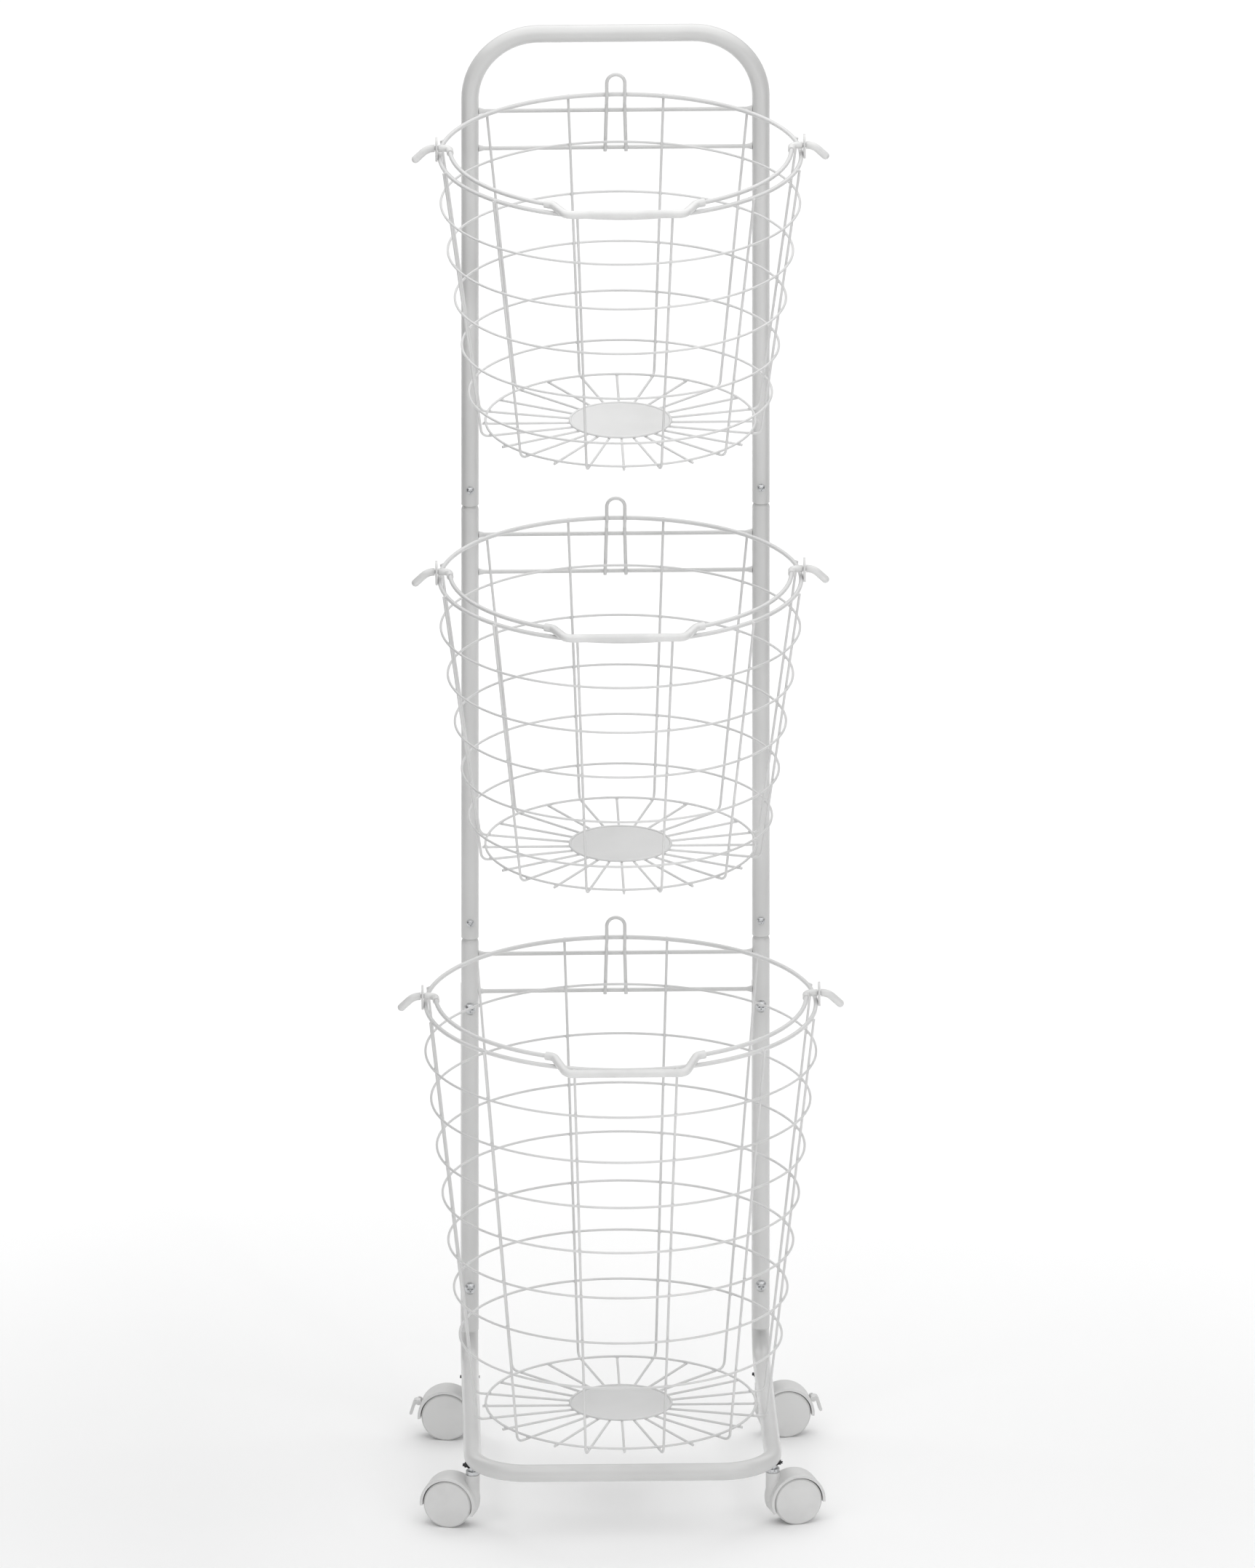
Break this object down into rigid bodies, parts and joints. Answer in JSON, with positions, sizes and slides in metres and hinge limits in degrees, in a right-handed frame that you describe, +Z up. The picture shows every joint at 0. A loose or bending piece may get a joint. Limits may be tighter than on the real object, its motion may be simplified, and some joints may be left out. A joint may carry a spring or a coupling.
{
  "type": "rolling utility cart",
  "caption": "Tall rolling cart: bent tube frame on twin-wheel casters with hanging wire baskets that lift off and have swinging bail handles.",
  "frame": {"origin": "floor level under the middle of the cart's bounding box", "axes": "+Z up, -Y to the front where the baskets and grips are, +X to the right seen from the front"},
  "size_m": [0.405, 0.4052, 1.356],
  "materials": {
    "frame_coat": "satin white powder coat",
    "basket_coat": "satin white powder coat",
    "sleeve_vinyl": "soft gloss moulded vinyl",
    "caster_plastic": "moulded satin plastic",
    "zinc_steel": "bright zinc plate"
  },
  "bodies": {
    "frame": {"handle_tube": "frame_coat", "middle_post_left": "frame_coat", "middle_post_right": "frame_coat", "lower_post_left": "frame_coat", "lower_post_right": "frame_coat", "base_loop": "frame_coat", "crossbars": "frame_coat", "basket_hooks": "frame_coat", "joint_screws": "zinc_steel", "base_bolts": "zinc_steel", "base_nuts": "zinc_steel", "front_left_stem": "zinc_steel", "front_right_stem": "zinc_steel", "rear_left_stem": "zinc_steel", "rear_right_stem": "zinc_steel"},
    "top_basket": {"top_rim": "basket_coat", "top_hoops": "basket_coat", "top_staves": "basket_coat", "top_spokes": "basket_coat", "top_floor_disc": "basket_coat", "top_ears": "basket_coat"},
    "top_bail": {"top_bail_wire": "basket_coat", "top_bail_grip": "sleeve_vinyl", "top_bail_ends": "sleeve_vinyl"},
    "middle_basket": {"middle_rim": "basket_coat", "middle_hoops": "basket_coat", "middle_staves": "basket_coat", "middle_spokes": "basket_coat", "middle_floor_disc": "basket_coat", "middle_ears": "basket_coat"},
    "middle_bail": {"middle_bail_wire": "basket_coat", "middle_bail_grip": "sleeve_vinyl", "middle_bail_ends": "sleeve_vinyl"},
    "bottom_basket": {"bottom_rim": "basket_coat", "bottom_hoops": "basket_coat", "bottom_staves": "basket_coat", "bottom_spokes": "basket_coat", "bottom_floor_disc": "basket_coat", "bottom_ears": "basket_coat"},
    "bottom_bail": {"bottom_bail_wire": "basket_coat", "bottom_bail_grip": "sleeve_vinyl", "bottom_bail_ends": "sleeve_vinyl"},
    "front_left_swivel": {"front_left_hood": "caster_plastic", "front_left_axle": "zinc_steel"},
    "front_left_wheel_front": {"front_left_wheel_front": "caster_plastic"},
    "front_left_wheel_rear": {"front_left_wheel_rear": "caster_plastic"},
    "front_right_swivel": {"front_right_hood": "caster_plastic", "front_right_axle": "zinc_steel"},
    "front_right_wheel_front": {"front_right_wheel_front": "caster_plastic"},
    "front_right_wheel_rear": {"front_right_wheel_rear": "caster_plastic"},
    "rear_left_swivel": {"rear_left_hood": "caster_plastic", "rear_left_axle": "zinc_steel"},
    "rear_left_wheel_front": {"rear_left_wheel_front": "caster_plastic"},
    "rear_left_wheel_rear": {"rear_left_wheel_rear": "caster_plastic"},
    "rear_left_brake": {"rear_left_brake_lever": "caster_plastic"},
    "rear_right_swivel": {"rear_right_hood": "caster_plastic", "rear_right_axle": "zinc_steel"},
    "rear_right_wheel_front": {"rear_right_wheel_front": "caster_plastic"},
    "rear_right_wheel_rear": {"rear_right_wheel_rear": "caster_plastic"},
    "rear_right_brake": {"rear_right_brake_lever": "caster_plastic"}
  },
  "joints": [
    {"name": "top_basket_lift", "type": "slide", "parent": "frame", "child": "top_basket", "axis": [0, 0, 1], "range_m": [0, 0.03]},
    {"name": "top_bail_swing", "type": "hinge", "parent": "top_basket", "child": "top_bail", "pos_m": [0, 0.00115, 1.301], "axis": [-1, 0, 0], "range_deg": [0, 135]},
    {"name": "middle_basket_lift", "type": "slide", "parent": "frame", "child": "middle_basket", "axis": [0, 0, 1], "range_m": [0, 0.03]},
    {"name": "middle_bail_swing", "type": "hinge", "parent": "middle_basket", "child": "middle_bail", "pos_m": [0, 0.00115, 0.892], "axis": [-1, 0, 0], "range_deg": [0, 38]},
    {"name": "bottom_basket_lift", "type": "slide", "parent": "frame", "child": "bottom_basket", "axis": [0, 0, 1], "range_m": [0, 0.03]},
    {"name": "bottom_bail_swing", "type": "hinge", "parent": "bottom_basket", "child": "bottom_bail", "pos_m": [0, -0.01185, 0.487], "axis": [-1, 0, 0], "range_deg": [0, 40]},
    {"name": "front_left_swivel_turn", "type": "hinge", "parent": "frame", "child": "front_left_swivel", "pos_m": [-0.13624, -0.07865, 0.0445], "axis": [0, 0, 1], "continuous": true},
    {"name": "front_left_wheel_front_spin", "type": "hinge", "parent": "front_left_swivel", "child": "front_left_wheel_front", "pos_m": [-0.15653, -0.07321, 0.022], "axis": [0.2588, 0.9659, 0], "continuous": true},
    {"name": "front_left_wheel_rear_spin", "type": "hinge", "parent": "front_left_swivel", "child": "front_left_wheel_rear", "pos_m": [-0.15653, -0.07321, 0.022], "axis": [0.2588, 0.9659, 0], "continuous": true},
    {"name": "front_right_swivel_turn", "type": "hinge", "parent": "frame", "child": "front_right_swivel", "pos_m": [0.13624, -0.07865, 0.0445], "axis": [0, 0, 1], "continuous": true},
    {"name": "front_right_wheel_front_spin", "type": "hinge", "parent": "front_right_swivel", "child": "front_right_wheel_front", "pos_m": [0.15653, -0.07321, 0.022], "axis": [0.2588, -0.9659, 0], "continuous": true},
    {"name": "front_right_wheel_rear_spin", "type": "hinge", "parent": "front_right_swivel", "child": "front_right_wheel_rear", "pos_m": [0.15653, -0.07321, 0.022], "axis": [0.2588, -0.9659, 0], "continuous": true},
    {"name": "rear_left_swivel_turn", "type": "hinge", "parent": "frame", "child": "rear_left_swivel", "pos_m": [-0.13254, 0.15535, 0.0445], "axis": [0, 0, 1], "continuous": true},
    {"name": "rear_left_wheel_front_spin", "type": "hinge", "parent": "rear_left_swivel", "child": "rear_left_wheel_front", "pos_m": [-0.15334, 0.15827, 0.022], "axis": [0.1392, 0.9903, 0], "continuous": true},
    {"name": "rear_left_wheel_rear_spin", "type": "hinge", "parent": "rear_left_swivel", "child": "rear_left_wheel_rear", "pos_m": [-0.15334, 0.15827, 0.022], "axis": [0.1392, 0.9903, 0], "continuous": true},
    {"name": "rear_left_brake_press", "type": "hinge", "parent": "rear_left_swivel", "child": "rear_left_brake", "pos_m": [-0.1784, 0.16179, 0.03327], "axis": [-0.1392, -0.9903, 0], "range_deg": [0, 14]},
    {"name": "rear_right_swivel_turn", "type": "hinge", "parent": "frame", "child": "rear_right_swivel", "pos_m": [0.13254, 0.15535, 0.0445], "axis": [0, 0, 1], "continuous": true},
    {"name": "rear_right_wheel_front_spin", "type": "hinge", "parent": "rear_right_swivel", "child": "rear_right_wheel_front", "pos_m": [0.15334, 0.15827, 0.022], "axis": [0.1392, -0.9903, 0], "continuous": true},
    {"name": "rear_right_wheel_rear_spin", "type": "hinge", "parent": "rear_right_swivel", "child": "rear_right_wheel_rear", "pos_m": [0.15334, 0.15827, 0.022], "axis": [0.1392, -0.9903, 0], "continuous": true},
    {"name": "rear_right_brake_press", "type": "hinge", "parent": "rear_right_swivel", "child": "rear_right_brake", "pos_m": [0.1784, 0.16179, 0.03327], "axis": [-0.1392, 0.9903, 0], "range_deg": [0, 14]}
  ]
}
